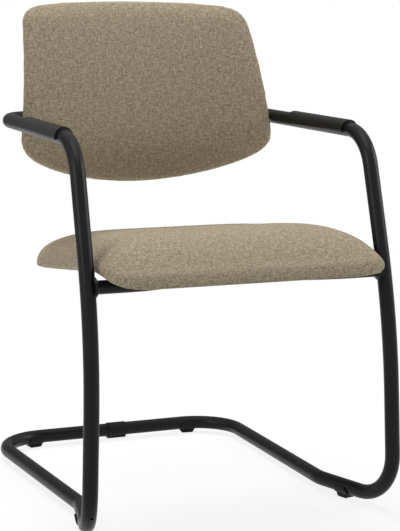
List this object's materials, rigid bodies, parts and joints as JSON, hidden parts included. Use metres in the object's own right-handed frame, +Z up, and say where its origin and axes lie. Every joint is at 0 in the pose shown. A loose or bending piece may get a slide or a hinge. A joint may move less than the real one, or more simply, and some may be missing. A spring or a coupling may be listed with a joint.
{
  "type": "sled base visitor chair",
  "caption": "Upholstered visitor chair with a cantilevered loop of black round tube that forms the floor rails, uprights and arms, a padded seat and a curved padded back.",
  "frame": {"origin": "on the floor, below the middle of the chair's bounding box", "axes": "+Z up, -Y the way the sitter faces, +X to the sitter's left"},
  "size_m": [0.5565, 0.7102, 0.8475],
  "materials": {
    "frame": "satin black powder coat",
    "arm_pads": "soft satin",
    "black_plastic": "matt",
    "upholstery": "mottled wool weave",
    "plywood": "raw",
    "steel": "zinc plated"
  },
  "bodies": {
    "root": {"frame_tube_left": "frame", "frame_tube_right": "frame", "floor_joint_sleeve": "steel", "back_joint_sleeve": "steel", "floor_joint_clip": "black_plastic", "front_glide_left": "black_plastic", "front_glide_right": "black_plastic", "rear_glide_left": "black_plastic", "rear_glide_right": "black_plastic", "arm_pad_left": "arm_pads", "arm_pad_right": "arm_pads", "seat_support_tube": "frame", "support_welds": "frame", "seat_spacers": "black_plastic", "seat_cushion": "upholstery", "seat_board": "plywood", "seat_under_cover": "black_plastic", "seat_bolts": "steel", "seat_tee_nuts": "steel", "back_bracket_left": "frame", "back_bracket_right": "frame", "back_cushion": "upholstery", "back_board": "plywood", "back_rear_panel": "black_plastic", "back_tee_nuts": "steel", "back_screws": "steel"}
  },
  "joints": []
}
